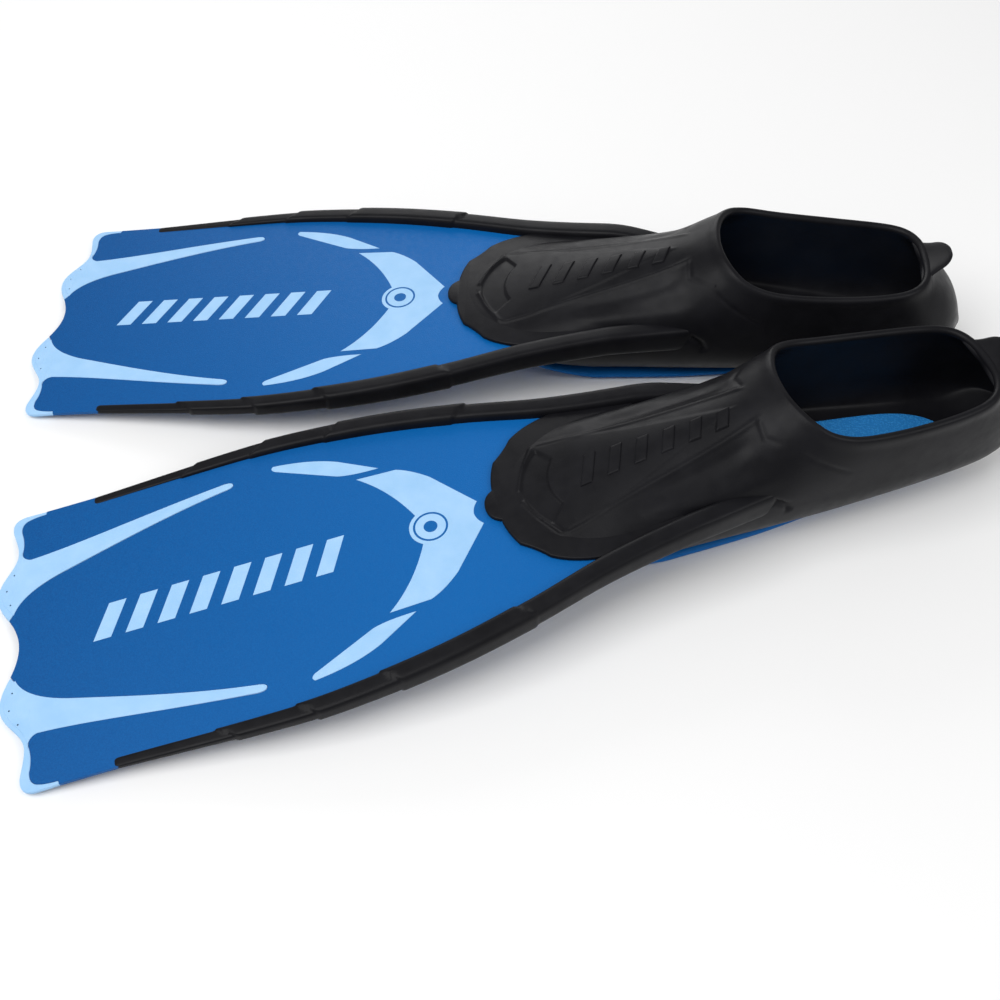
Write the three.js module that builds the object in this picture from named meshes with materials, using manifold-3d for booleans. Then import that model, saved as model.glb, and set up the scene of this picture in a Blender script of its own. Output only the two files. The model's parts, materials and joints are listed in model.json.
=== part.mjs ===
// A pair of full-foot swim fins lying on a floor, in millimetres, +Z up.
// Each fin is built in its own frame: X runs from the notch in the blade's tip to the heel,
// Y runs across the fin and Z runs up from the floor. The wearer's left is at negative Y.
import * as THREE from 'three';
import Module from 'manifold-3d';

const wasm = await Module();
wasm.setup();
const { Manifold } = wasm;

// ---- driving dimensions ----
const BLADE_SLOPE = Math.tan(THREE.MathUtils.degToRad(7));
const BLADE_HEIGHT_AT_TIP = 2.8;
const BLADE_THICKNESS = 2.6;
const INSERT_DEPTH = 1.2;
const FIT_GAP = 0.2;
const HINGE_X = 282;
const BLADE_END_GAP = 1.4;
const RAIL_END_GAP = 4.2;
const RAIL_START_X = 50;
const RAIL_END_X = 452;
const FLANGE_TOP = 4.2;
const WALL = 4.6;
const OPENING_FRONT_X = 463;
const OPENING_REAR_X = 604;
const RIM_RADIUS = 3.1;
const TAB_LENGTH = 17;
const TAB_HALF_WIDTH = 18;
const HEEL_X = 638;
const RIM_POINTS = 32;
const CURVE_STEPS = 6;

// ---- where the two fins lie ----
const FINS = [
  { name: 'front', tip: [-283, -113], yaw: 15.1 },
  { name: 'rear', tip: [-320, 167], yaw: -2.9 },
];

const COLOURS = {
  blade: { color: 0x0563ad, roughness: 0.45, metalness: 0 },
  insert: { color: 0xa9d6f5, roughness: 0.55, metalness: 0 },
  rubber: { color: 0x17181b, roughness: 0.5, metalness: 0 },
  insole: { color: 0x1f78c4, roughness: 0.7, metalness: 0 },
};

// ---- curves ----
// A smooth curve through a few [x, value] pairs, flat beyond both ends.
function profile(pairs) {
  const last = pairs.length - 1;
  function slope(i) {
    const a = pairs[Math.max(i - 1, 0)];
    const b = pairs[Math.min(i + 1, last)];
    return (b[1] - a[1]) / (b[0] - a[0]);
  }
  return (x) => {
    if (x <= pairs[0][0]) return pairs[0][1];
    if (x >= pairs[last][0]) return pairs[last][1];
    let i = 0;
    while (x > pairs[i + 1][0]) i += 1;
    const [x0, y0] = pairs[i];
    const [x1, y1] = pairs[i + 1];
    const span = x1 - x0;
    const t = (x - x0) / span;
    const h = t * t * (3 - 2 * t);
    const m0 = slope(i) * span * t * (1 - t) * (1 - t);
    const m1 = slope(i + 1) * span * t * t * (1 - t);
    return y0 + (y1 - y0) * h + m0 - m1;
  };
}

function bladeHeight(x) {
  return BLADE_HEIGHT_AT_TIP + BLADE_SLOPE * x;
}

// Foot pocket: half width, height of its widest line, and the heights of its top and underside.
const halfWidth = profile([
  [296, 6], [304, 33], [315, 45], [335, 53], [360, 54], [395, 51], [450, 49], [500, 46.5],
  [550, 43], [590, 38], [612, 32], [628, 22], [HEEL_X, 5],
]);
const widestHeight = profile([[296, 41], [360, 42], [450, 45], [560, 44], [620, 38], [HEEL_X, 34]]);
const domeTop = profile([
  [296, 43], [330, 51], [360, 61], [420, 81], [445, 90], [463, 98.5], [500, 113], [545, 119], [580, 111],
  [604, 85], [613, 76.5], [622, 68], [630, 57.5], [HEEL_X, 38],
]);
const underside = profile([
  [296, 35.5], [325, 24], [355, 9], [385, 0.6], [400, -0.4], [480, -0.4], [520, 2.5], [560, 7],
  [600, 13], [625, 21], [HEEL_X, 30],
]);
const frameThickness = profile([[296, 4], [340, 7], [400, 9], [500, 7], [600, 4]]);
const frameHalfWidth = profile([
  [298, 12], [310, 33], [325, 41], [345, 43], [400, 40], [450, 36], [500, 29], [550, 23], [600, 14],
]);
const footFloor = profile([
  [330, 38], [360, 35], [420, 30], [480, 26], [560, 21], [600, 22], [620, 30], [632, 37],
]);
// Height of the rim of the foot opening, seen from the side.
const rimHeight = profile([
  [440, 104], [463, 98], [482, 89.5], [505, 84], [545, 81.5], [580, 82], [604, 84.5],
]);
// How square the section is above its widest line.
const upperPower = profile([
  [330, 2], [360, 1.9], [400, 1.75], [440, 1.85], [470, 2.6], [500, 3.2], [600, 3], [HEEL_X, 2.4],
]);

// Side rails: half width and half height of the bar, and the distance of its middle from the
// centre line.
const railMiddle = profile([
  [50, 93.5], [150, 97], [190, 95], [240, 88.5], [290, 77.5], [340, 63.5], [390, 54], [RAIL_END_X, 45.5],
]);
const railHalfHeight = profile([[50, 2.9], [150, 4], [250, 5.4], [340, 6.6], [RAIL_END_X, 8.4]]);
const railHalfWidth = profile([[50, 3.6], [150, 4.6], [250, 5.4], [340, 6], [RAIL_END_X, 6.4]]);
// How far the rail's rear end sinks below the blade's slope.
const railDrop = profile([[395, 0], [RAIL_END_X, 5]]);
const RAIL_STEPS = [113, 158, 206];

// ---- solids ----
function toManifold(positions, triangles) {
  const mesh = new wasm.Mesh({
    numProp: 3,
    vertProperties: new Float32Array(positions),
    triVerts: new Uint32Array(triangles),
  });
  mesh.merge();
  return new Manifold(mesh);
}

function fromGeometry(geometry) {
  const positions = geometry.attributes.position;
  const inOrder = Array.from({ length: positions.count }, (_, i) => i);
  const triangles = geometry.index ? geometry.index.array : inOrder;
  return toManifold(positions.array, triangles);
}

function toGeometry(body) {
  const mesh = body.getMesh();
  const geometry = new THREE.BufferGeometry();
  geometry.setAttribute('position', new THREE.BufferAttribute(mesh.vertProperties, mesh.numProp));
  geometry.setIndex(new THREE.BufferAttribute(mesh.triVerts, 1));
  geometry.computeVertexNormals();
  return geometry;
}

// A closed body through a row of rings with the same number of points each, in either direction.
function loft(rings) {
  const count = rings[0].length;
  const positions = rings.flat(2);
  const triangles = [];
  for (let i = 0; i + 1 < rings.length; i += 1) {
    for (let k = 0; k < count; k += 1) {
      const a = i * count + k;
      const b = i * count + ((k + 1) % count);
      triangles.push(a, b, b + count, a, b + count, a + count);
    }
  }
  for (const [end, ring] of [[0, rings[0]], [1, rings[rings.length - 1]]]) {
    const centre = positions.length / 3;
    const base = end * (rings.length - 1) * count;
    for (const axis of [0, 1, 2]) {
      positions.push(ring.reduce((sum, point) => sum + point[axis], 0) / count);
    }
    for (let k = 0; k < count; k += 1) {
      const a = base + k;
      const b = base + ((k + 1) % count);
      if (end === 0) triangles.push(centre, b, a);
      else triangles.push(centre, a, b);
    }
  }
  const body = toManifold(positions, triangles);
  return body.volume() > 0 ? body : toManifold(positions, triangles.reverse());
}

// A superellipse with its own height above and below its widest line.
function ovalRing(x, half, middle, top, bottom, upperPower, lowerPower, count) {
  const ring = [];
  for (let k = 0; k < count; k += 1) {
    const angle = (2 * Math.PI * (k + 0.5)) / count;
    const c = Math.cos(angle);
    const s = Math.sin(angle);
    const power = s > 0 ? upperPower : lowerPower;
    const y = half * Math.sign(c) * Math.abs(c) ** (2 / power);
    const rise = Math.abs(s) ** (2 / power);
    ring.push([x, y, s > 0 ? middle + (top - middle) * rise : middle - (middle - bottom) * rise]);
  }
  return ring;
}

function stations(from, to, count) {
  return Array.from({ length: count + 1 }, (_, i) => from + ((to - from) * i) / count);
}

// ---- flat outlines ----
function outline(draw) {
  const shape = new THREE.Shape();
  draw(shape);
  return shape.getPoints(CURVE_STEPS);
}

function mirrored(points) {
  return points.map((point) => new THREE.Vector2(point.x, -point.y)).reverse();
}

// A whole outline from its half at positive Y, which starts and ends on the centre line.
function bothSides(draw) {
  const half = outline(draw);
  return [...half, ...mirrored(half).filter((point) => point.y < 0)];
}

// The outline moved outwards, with mitred corners.
function grown(points, distance) {
  const turn = Math.sign(THREE.ShapeUtils.area(points));
  return points.map((point, i) => {
    const before = point.clone().sub(points.at(i - 1)).normalize();
    const after = points[(i + 1) % points.length].clone().sub(point).normalize();
    const mitre = (turn * distance) / Math.max(1 + before.dot(after), 0.7);
    const along = before.add(after);
    return new THREE.Vector2(point.x + along.y * mitre, point.y - along.x * mitre);
  });
}

// A plate cut to an outline that follows the blade's slope, between two levels measured from the
// blade's middle surface.
function plate(points, low, high) {
  const geometry = new THREE.ExtrudeGeometry(new THREE.Shape(points), {
    depth: high - low, bevelEnabled: false,
  });
  const slope = new THREE.Matrix4().set(
    1, 0, 0, 0,
    0, 1, 0, 0,
    BLADE_SLOPE, 0, 1, BLADE_HEIGHT_AT_TIP + low,
    0, 0, 0, 1,
  );
  return fromGeometry(geometry.applyMatrix4(slope));
}

function cutBoth(body, points, low, high) {
  return body.subtract(plate(points, low, high)).subtract(plate(mirrored(points), low, high));
}

// The soft edge of the tip, from its lobe to its corner.
function lobeAndCorner(path) {
  path.bezierCurveTo(-8, 26, -11.5, 32, -11, 40);
  path.bezierCurveTo(-10.5, 49, -1.5, 56, 1, 63);
  path.bezierCurveTo(4, 70, 1, 78, -0.5, 86);
  path.quadraticCurveTo(-1.5, 96, 8, 96.5);
}

function bladeHalf(path) {
  path.moveTo(1, 0);
  path.quadraticCurveTo(1, 9, -4.5, 20);
  lobeAndCorner(path);
  path.quadraticCurveTo(30, 96, 60, 96.5);
  path.quadraticCurveTo(130, 99, 185, 95);
  path.quadraticCurveTo(235, 88, HINGE_X - BLADE_END_GAP, 78.5);
  path.lineTo(HINGE_X - BLADE_END_GAP, 0);
}

// The soft tip insert: a lobe beside the notch, a band round the corner and a long tapering stripe.
function tipInsert(path) {
  path.moveTo(-4.5, 20);
  lobeAndCorner(path);
  path.quadraticCurveTo(15, 96.4, 21, 96.2);
  path.lineTo(20.5, 94);
  path.quadraticCurveTo(14, 94, 9.5, 92.6);
  path.quadraticCurveTo(4.5, 91, 5, 84);
  path.quadraticCurveTo(7, 76, 5, 68);
  path.quadraticCurveTo(4.5, 62, 10, 61);
  path.bezierCurveTo(40, 62.5, 80, 71, 133, 77.2);
  path.quadraticCurveTo(139, 77.5, 139, 74.6);
  path.quadraticCurveTo(139, 72.4, 133, 71.6);
  path.bezierCurveTo(95, 65, 60, 54, 33, 46);
  path.quadraticCurveTo(4, 38, -1.5, 24);
}

function chevronHalf(path) {
  path.moveTo(277, 0);
  path.quadraticCurveTo(277.5, 5, 281, 8.5);
  path.lineTo(258, 37);
  path.quadraticCurveTo(248, 46.5, 239, 50);
  path.lineTo(214, 51);
  path.quadraticCurveTo(232, 36, 243, 10.8);
  path.quadraticCurveTo(237, 7, 237, 0);
}

function dash(path) {
  path.moveTo(165.5, 80);
  path.quadraticCurveTo(162.5, 78, 166, 75.5);
  path.lineTo(203, 57.8);
  path.quadraticCurveTo(212, 55, 229, 55);
  path.lineTo(206, 69);
  path.quadraticCurveTo(190, 77.5, 166.5, 80);
}

// The blade's root, behind the line where it bends.
function rootHalf(path) {
  path.moveTo(HINGE_X + 0.1, 0);
  path.lineTo(HINGE_X + 0.1, 78);
  path.quadraticCurveTo(315, 72, 345, 61);
  path.lineTo(385, 53);
  path.lineTo(385, 0);
}

function flangeHalf(path) {
  path.moveTo(284, 0);
  path.quadraticCurveTo(284, 8.5, 291, 11.5);
  path.quadraticCurveTo(292, 22, 297, 32);
  path.quadraticCurveTo(305, 38, 311, 46);
  path.quadraticCurveTo(324, 56, 347, 58);
  path.lineTo(400, 50);
  path.lineTo(400, 0);
}

// ---- parts of one fin ----
function railRings(from, to, grow, steps, side) {
  const cuts = [from, to];
  for (const step of steps) cuts.push(step - 1, step + 1);
  for (const x of stations(from, to, Math.round((to - from) / 22))) {
    if (steps.every((step) => Math.abs(step - x) > 6)) cuts.push(x);
  }
  const places = [...new Set(cuts)].sort((a, b) => a - b);
  return places.map((x) => {
    const before = steps.filter((step) => x > step).length;
    const bulge = steps.length ? 0.7 * before - 0.7 : 0;
    const half = railHalfWidth(x) + bulge * 0.5 + grow;
    const height = railHalfHeight(x) + bulge + grow;
    const middle = bladeHeight(x) - railDrop(x);
    return ovalRing(x, half, middle, middle + height, middle - height, 3.2, 3.2, 12)
      .map(([px, py, pz]) => [px, side * (py + railMiddle(px)), pz]);
  });
}

// Moves the first and last ring of a loft outwards.
function pushEnds(rings, grow) {
  for (const point of rings[0]) point[0] -= grow;
  for (const point of rings[rings.length - 1]) point[0] += grow;
  return rings;
}

// The space for the foot.
function cavity(grow) {
  const rings = stations(336, 630, 16).map((x) => {
    const back = x > 590 ? x + 5 * Math.min(1, (x - 590) / 12) : x;
    const half = Math.max(halfWidth(back) - WALL, 4) + grow;
    const top = Math.max(domeTop(back) - WALL + 0.4, footFloor(x) + 7) + grow;
    const bottom = footFloor(x) - grow;
    const middle = Math.min(Math.max(widestHeight(x), bottom + 4), top - 3);
    return ovalRing(x, half, middle, top, bottom, upperPower(x), 3, 20);
  });
  return loft(pushEnds(rings, grow));
}

// The thick part of the blade's frame under the foot.
function belly(grow) {
  const rings = [...stations(298, 400, 7), ...stations(480, 600, 5)].map((x) => {
    const low = underside(x);
    const high = low + frameThickness(x);
    const width = frameHalfWidth(x) + grow;
    return ovalRing(x, width, (low + high) / 2, high + grow, low - grow, 3, 3, 20);
  });
  return loft(pushEnds(rings, grow));
}

// Everything above the rim of the foot opening.
function aboveRim() {
  const edge = stations(440, 660, 22).map((x) => new THREE.Vector2(x, rimHeight(x)));
  const side = new THREE.Shape([...edge, new THREE.Vector2(660, 160), new THREE.Vector2(440, 160)]);
  const depth = 160;
  const geometry = new THREE.ExtrudeGeometry(side, { depth, bevelEnabled: false });
  return fromGeometry(geometry.translate(0, 0, -depth / 2).rotateX(Math.PI / 2));
}

function rimPoint(turn) {
  const middle = (OPENING_FRONT_X + OPENING_REAR_X) / 2;
  const x = middle - ((OPENING_REAR_X - OPENING_FRONT_X) / 2) * Math.cos(turn);
  const level = rimHeight(x);
  const share = Math.min(1, (level - widestHeight(x)) / (domeTop(x) - widestHeight(x)));
  const y = (halfWidth(x) - WALL / 2) * (1 - share ** upperPower(x)) ** (1 / upperPower(x));
  return new THREE.Vector3(x, Math.sin(turn) < 0 ? -y : y, level - 1);
}

// The rolled bead round the foot opening.
function rimBead() {
  const turns = stations(0, 2 * Math.PI, RIM_POINTS).slice(1);
  const points = turns.map((turn) => rimPoint(turn - Math.PI / RIM_POINTS));
  const circle = new THREE.Shape().absarc(0, 0, RIM_RADIUS, 0, 2 * Math.PI);
  return fromGeometry(new THREE.ExtrudeGeometry(circle, {
    steps: 36,
    curveSegments: 4,
    extrudePath: new THREE.CatmullRomCurve3(points, true, 'centripetal'),
    bevelEnabled: false,
  }));
}

// The pull tab, a tongue that flares back and up from the rim behind the heel.
function heelTab() {
  const rings = stations(0, 1, 5).map((t) => {
    const round = Math.sqrt(1 - (0.96 * t) ** 6);
    const width = (TAB_HALF_WIDTH - 5 * t) * round;
    return ovalRing(0, width, 0, 1.9 * round + 0.5, -1.9 * round - 0.5, 3, 3, 12)
      .map(([, y, thick]) => [
        OPENING_REAR_X - 4 + (TAB_LENGTH * t - 0.5 * thick) * 0.87,
        y,
        rimHeight(OPENING_REAR_X) - 4 + TAB_LENGTH * 0.6 * t + 0.87 * thick,
      ]);
  });
  return loft(rings);
}

function insoleRings(grow) {
  return stations(352, 594, 10).map((x) => {
    const along = (x - 352) / 242;
    const width = (31 - 7 * along) * Math.max(1 - Math.abs(2 * along - 1) ** 7, 0.12) + grow;
    const level = footFloor(x);
    return ovalRing(x, width, level, level + 0.9 + grow, level - 1.2 - grow, 4, 4, 12);
  });
}

// ---- one fin ----
const FLOOR = fromGeometry(new THREE.BoxGeometry(700, 300, 20).translate(300, 0, -10));
const HALF = BLADE_THICKNESS / 2;
const RECESS_FLOOR = HALF - INSERT_DEPTH;

// The rail's rear end, let into the pocket's wall but not through it.
function railRoot(grow, side) {
  const front = grow > 0 ? HINGE_X - 2 : HINGE_X + 0.4;
  return loft(railRings(front, RAIL_END_X + grow, grow, [], side)).subtract(cavity(WALL / 2 - grow));
}

// The blade's outer plate, with openings for the tip inserts and recesses for the others.
function makeBlade(chevron, roundel) {
  let body = plate(bothSides(bladeHalf), -HALF, HALF);
  body = cutBoth(body, grown(outline(tipInsert), FIT_GAP), -HALF - 1, HALF + 1);
  body = cutBoth(body, grown(outline(dash), FIT_GAP), RECESS_FLOOR - 0.05, HALF + 1);
  for (const points of [chevron, roundel]) {
    body = body.subtract(plate(grown(points, FIT_GAP), RECESS_FLOOR - 0.05, HALF + 1));
  }
  return body;
}

// The blade's root, moulded in one with the stiff frame that runs back under the foot.
function makeFrame() {
  return plate(bothSides(rootHalf), -HALF, HALF)
    .subtract(cavity(2.5))
    .add(belly(0))
    .subtract(FLOOR)
    .subtract(railRoot(FIT_GAP, 1))
    .subtract(railRoot(FIT_GAP, -1));
}

// The rubber foot pocket: instep, walls and heel cup round the foot, open above the heel.
function makePocket() {
  const places = [...stations(299, 400, 7), ...stations(425, 600, 6), ...stations(609, HEEL_X, 5)];
  const shell = loft(places.map((x) => {
    const bottom = Math.min(underside(x) + Math.min(frameThickness(x), 6) - 2, widestHeight(x) - 2);
    return ovalRing(x, halfWidth(x), widestHeight(x), domeTop(x), bottom, upperPower(x), 2.6, 24);
  }));
  const frameSpace = plate(grown(bothSides(rootHalf), FIT_GAP), -HALF - FIT_GAP, HALF + FIT_GAP)
    .subtract(cavity(2.5 - FIT_GAP))
    .add(belly(FIT_GAP));
  return shell
    .subtract(aboveRim())
    .add(rimBead())
    .add(heelTab())
    .add(plate(bothSides(flangeHalf), HALF + FIT_GAP, FLANGE_TOP))
    .subtract(cavity(0))
    .subtract(frameSpace)
    .subtract(railRoot(FIT_GAP, 1))
    .subtract(railRoot(FIT_GAP, -1))
    .subtract(loft(pushEnds(insoleRings(FIT_GAP), FIT_GAP)))
    .subtract(FLOOR);
}

function makeRail() {
  const bladeSpace = plate(grown(bothSides(bladeHalf), FIT_GAP), -HALF - FIT_GAP, HALF + FIT_GAP);
  return loft(railRings(RAIL_START_X, HINGE_X - RAIL_END_GAP, 0, RAIL_STEPS, 1)).subtract(bladeSpace);
}

const chevron = bothSides(chevronHalf);
const roundel = new THREE.Shape().absarc(250, 0, 13, 0, 2 * Math.PI).getPoints(14).slice(1);

const MIDDLE_PIECES = {
  blade: [makeBlade(chevron, roundel), COLOURS.blade],
  blade_frame: [makeFrame(), COLOURS.blade],
  foot_pocket: [makePocket(), COLOURS.rubber],
  insole: [loft(insoleRings(0)), COLOURS.insole],
  chevron_insert: [
    plate(chevron, RECESS_FLOOR, HALF + 0.2).add(plate(roundel, RECESS_FLOOR, HALF + 0.2)),
    COLOURS.insert,
  ],
};
const SIDE_PIECES = {
  rail: [makeRail(), COLOURS.rubber],
  rail_root: [railRoot(0, 1), COLOURS.rubber],
  tip_insert: [plate(outline(tipInsert), -HALF, HALF), COLOURS.insert],
  dash_insert: [plate(outline(dash), RECESS_FLOOR, HALF + 0.2), COLOURS.insert],
};

function addPiece(fin, name, [body, finish], side) {
  const mesh = new THREE.Mesh(toGeometry(body), new THREE.MeshStandardMaterial(finish));
  mesh.name = name;
  mesh.scale.y = side;
  fin.add(mesh);
}

// ---- the pair ----
const pair = new THREE.Group();
for (const { name, tip, yaw } of FINS) {
  const fin = new THREE.Group();
  fin.position.set(tip[0], tip[1], 0);
  fin.rotation.z = THREE.MathUtils.degToRad(yaw);
  for (const [piece, made] of Object.entries(MIDDLE_PIECES)) addPiece(fin, `${name}_${piece}`, made, 1);
  for (const [piece, made] of Object.entries(SIDE_PIECES)) {
    addPiece(fin, `${name}_${piece}_right`, made, 1);
    addPiece(fin, `${name}_${piece}_left`, made, -1);
  }
  pair.add(fin);
}

// The pair's own frame has its origin at the middle of the floor space it covers.
pair.updateMatrixWorld(true);
const extent = new THREE.Box3().setFromObject(pair, true);
const middle = extent.getCenter(new THREE.Vector3());
pair.position.set(-middle.x, -middle.y, -extent.min.z);

export default pair;
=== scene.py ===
"""A pair of full-foot swim fins: the looks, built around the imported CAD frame.

Each fin has its own frame, in millimetres: u runs from the notch in the blade's tip to the heel,
v runs across the fin (the wearer's right is positive) and w runs up from the floor.
"""
import json
import math

import bmesh
import bpy
import numpy as np
from mathutils import Matrix, Vector
from mathutils.geometry import tessellate_polygon


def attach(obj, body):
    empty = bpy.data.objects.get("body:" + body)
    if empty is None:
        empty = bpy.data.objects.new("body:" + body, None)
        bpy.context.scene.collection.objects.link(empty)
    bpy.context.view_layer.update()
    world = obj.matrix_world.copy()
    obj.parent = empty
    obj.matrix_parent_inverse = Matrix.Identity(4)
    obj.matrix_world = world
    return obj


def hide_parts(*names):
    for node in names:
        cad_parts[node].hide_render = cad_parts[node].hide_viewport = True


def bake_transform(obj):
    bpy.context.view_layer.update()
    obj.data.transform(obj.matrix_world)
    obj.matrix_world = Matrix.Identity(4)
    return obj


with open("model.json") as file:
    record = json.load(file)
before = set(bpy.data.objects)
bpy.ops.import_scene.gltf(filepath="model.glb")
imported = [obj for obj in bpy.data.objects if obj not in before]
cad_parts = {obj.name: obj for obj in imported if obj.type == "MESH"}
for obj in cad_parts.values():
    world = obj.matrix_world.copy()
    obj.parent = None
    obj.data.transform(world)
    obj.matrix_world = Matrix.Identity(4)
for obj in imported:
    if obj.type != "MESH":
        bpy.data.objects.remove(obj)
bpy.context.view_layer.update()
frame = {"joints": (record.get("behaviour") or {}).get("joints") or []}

# ---- driving dimensions, in millimetres ----
MM = 0.001
HINGE_U = 282.0
BEND_START_U = 284.0
BEND_END_U = 165.0
BLADE_SLOPE = math.tan(math.radians(7))
BLADE_TIP_HEIGHT = 2.8
BLADE_HALF = 1.3
FLANGE_TOP = 4.2
HEEL_U = 638.0
WALL = 4.4
RIM_WIDTH = 5.4
RAIL_START_U = 50.0
RAIL_END_U = 453.0
RAIL_STEPS = (113, 158, 206)
RAIL_ROOT_U = 287.0
RAIL_SETTLE = 4.5
STRIP = 4.0
PRINT_RISE = 0.12
INSERT_DEPTH = 0.2
ROUNDEL_U = 250.0
BAR_COUNT = 8
BAR_FIRST_U = 50.0
BAR_PITCH = 19.0
BAR_WIDTH = 10.5
BAR_HALF_LENGTH = 12.0
BAR_LEAN = 5.5
LOWER_POWER = 2.6
CAVITY_FRONT_U = 352.0
FOOTBED_REAR_U = 594.0

# ---- studio dimensions, in metres, except for the lens and its sensor, in millimetres ----
CAMERA_PLACE = (-0.0006, -0.5101, 0.6078)
CAMERA_AIM = (-0.0006, -0.0293, 0)
LENS = 43.1
SENSOR = 36
FLOOR_SIZE = 60
FLOOR_DROP = 0.0004
LIGHTS = (
    ("key", (-0.9, -0.5, 1.7), 1.4, 27),
    ("side", (1.3, -0.6, 1.3), 1.0, 9),
    ("rim", (-0.2, 1.9, 0.8), 1.2, 12),
)


# ---- curves ----
def profile(pairs):
    """A smooth curve through a few (place, value) pairs, flat beyond both ends."""
    places, values = np.array(pairs, float).T
    last = len(places) - 1
    slopes = np.array([
        (values[min(i + 1, last)] - values[max(i - 1, 0)])
        / (places[min(i + 1, last)] - places[max(i - 1, 0)])
        for i in range(last + 1)
    ])

    def value(place):
        x = np.clip(place, places[0], places[-1])
        i = np.clip(np.searchsorted(places, x, "right") - 1, 0, last - 1)
        span = places[i + 1] - places[i]
        t = (x - places[i]) / span
        rise = (values[i + 1] - values[i]) * t * t * (3 - 2 * t)
        bend = span * t * (1 - t) * (slopes[i] * (1 - t) - slopes[i + 1] * t)
        return values[i] + rise + bend

    return value


def blade_height(u):
    return BLADE_TIP_HEIGHT + BLADE_SLOPE * u


half_width = profile([
    (296, 6), (304, 33), (315, 45), (335, 53), (360, 54), (395, 51), (450, 49), (500, 46.5),
    (550, 43), (590, 38), (612, 32), (628, 22), (HEEL_U, 5)])
widest_height = profile([(296, 41), (360, 42), (450, 45), (560, 44), (620, 38), (HEEL_U, 34)])
dome_top = profile([
    (296, 43), (330, 51), (360, 61), (420, 81), (445, 90), (463, 98.5), (500, 113), (545, 119),
    (580, 111), (604, 85), (613, 76.5), (622, 68), (630, 57.5), (HEEL_U, 38)])
underside = profile([
    (296, 35.5), (325, 24), (355, 9), (385, 0.6), (400, 0), (480, 0), (520, 2.5), (560, 7),
    (600, 13), (625, 21), (HEEL_U, 30)])
frame_thickness = profile([(296, 4), (340, 7), (400, 9), (500, 7), (600, 4)])
frame_half_width = profile([
    (298, 12), (310, 33), (325, 41), (345, 43), (400, 40), (450, 36), (500, 29), (550, 23),
    (600, 14)])
foot_floor = profile([
    (330, 38), (360, 35), (420, 30), (480, 26), (560, 21), (600, 22), (620, 30), (632, 37)])
rim_height = profile([
    (440, 104), (463, 98), (482, 89.5), (505, 84), (545, 81.5), (580, 82), (604, 84.5)])
upper_power = profile([
    (330, 2), (360, 1.9), (400, 1.75), (440, 1.85), (470, 2.6), (500, 3.2), (600, 3), (HEEL_U, 2.4)])
rail_middle = profile([
    (50, 93.5), (150, 97), (190, 95), (240, 88.5), (290, 77.5), (340, 63.5), (390, 54), (452, 45.5)])
rail_half_height = profile([(50, 2.9), (150, 4), (250, 5.4), (340, 6.6), (452, 8.4)])
rail_half_width = profile([(50, 3.6), (150, 4.6), (250, 5.4), (340, 6), (452, 6.4)])
rail_drop = profile([(395, 0), (452, 5)])


def smooth(value, low, high):
    """Rises smoothly from 0 at the low value to 1 at the high one."""
    t = np.clip((value - low) / (high - low), 0, 1)
    return t * t * (3 - 2 * t)


# ---- meshes ----
class Fin:
    """Where one fin lies, worked out from its blade joint."""

    def __init__(self, name):
        joint = next(j for j in frame["joints"] if j["name"] == f"{name}_blade_flex")
        across = Vector(joint["axis"]).normalized()
        up = Vector((0, 0, 1))
        along = across.cross(up)
        hinge = Vector(joint["pos_m"])
        origin = Vector((hinge.x, hinge.y, 0)) - along * HINGE_U * MM
        self.name = name
        self.shoe = f"{name}_shoe"
        self.flex = f"{name}_flex_blade"
        turn = Matrix((along, across, up)).transposed().to_4x4()
        self.matrix = Matrix.Translation(origin) @ turn

    def point(self, u, v=0.0, w=0.0):
        return self.matrix @ Vector((u * MM, v * MM, w * MM))


def new_piece(fin, name, points, faces, material, sharp=35):
    """A mesh object from points in a fin's own frame."""
    mesh = bpy.data.meshes.new(f"{fin.name}_{name}")
    mesh.from_pydata([fin.matrix @ (Vector(p) * MM) for p in points], [], faces)
    shaped = bmesh.new()
    shaped.from_mesh(mesh)
    bmesh.ops.remove_doubles(shaped, verts=shaped.verts, dist=1e-6)
    bmesh.ops.dissolve_degenerate(shaped, edges=shaped.edges, dist=1e-6)
    bmesh.ops.recalc_face_normals(shaped, faces=shaped.faces)
    shaped.to_mesh(mesh)
    shaped.free()
    for polygon in mesh.polygons:
        polygon.use_smooth = True
    mesh.set_sharp_from_angle(angle=math.radians(sharp))
    mesh.materials.append(material)
    piece = bpy.data.objects.new(f"{fin.name}_{name}", mesh)
    bpy.context.scene.collection.objects.link(piece)
    return piece


def cut_in_strips(fin, piece):
    """Cuts a plate across every few millimetres, so that it can curve where the blade bends."""
    shaped = bmesh.new()
    shaped.from_mesh(piece.data)
    normal = fin.matrix.to_3x3() @ Vector((1, 0, 0))
    for u in np.arange(BEND_END_U - 2 * STRIP, BEND_START_U + STRIP, STRIP):
        bmesh.ops.bisect_plane(
            shaped, geom=shaped.verts[:] + shaped.edges[:] + shaped.faces[:],
            plane_co=fin.point(float(u)), plane_no=normal, dist=1e-7)
    shaped.to_mesh(piece.data)
    shaped.free()


def rides_blade(fin, piece, *nodes):
    """The piece keeps its place, baked into its mesh, and stands for these CAD nodes."""
    fin.point(BEND_START_U)
    fin.point(BEND_END_U)
    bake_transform(piece)
    if nodes:
        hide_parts(*[f"{fin.name}_{node}" for node in nodes])


def rides_shoe(fin, piece, *nodes):
    """The piece moves with the foot pocket and stands for these CAD nodes."""
    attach(piece, fin.shoe)
    if nodes:
        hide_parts(*[f"{fin.name}_{node}" for node in nodes])


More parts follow.
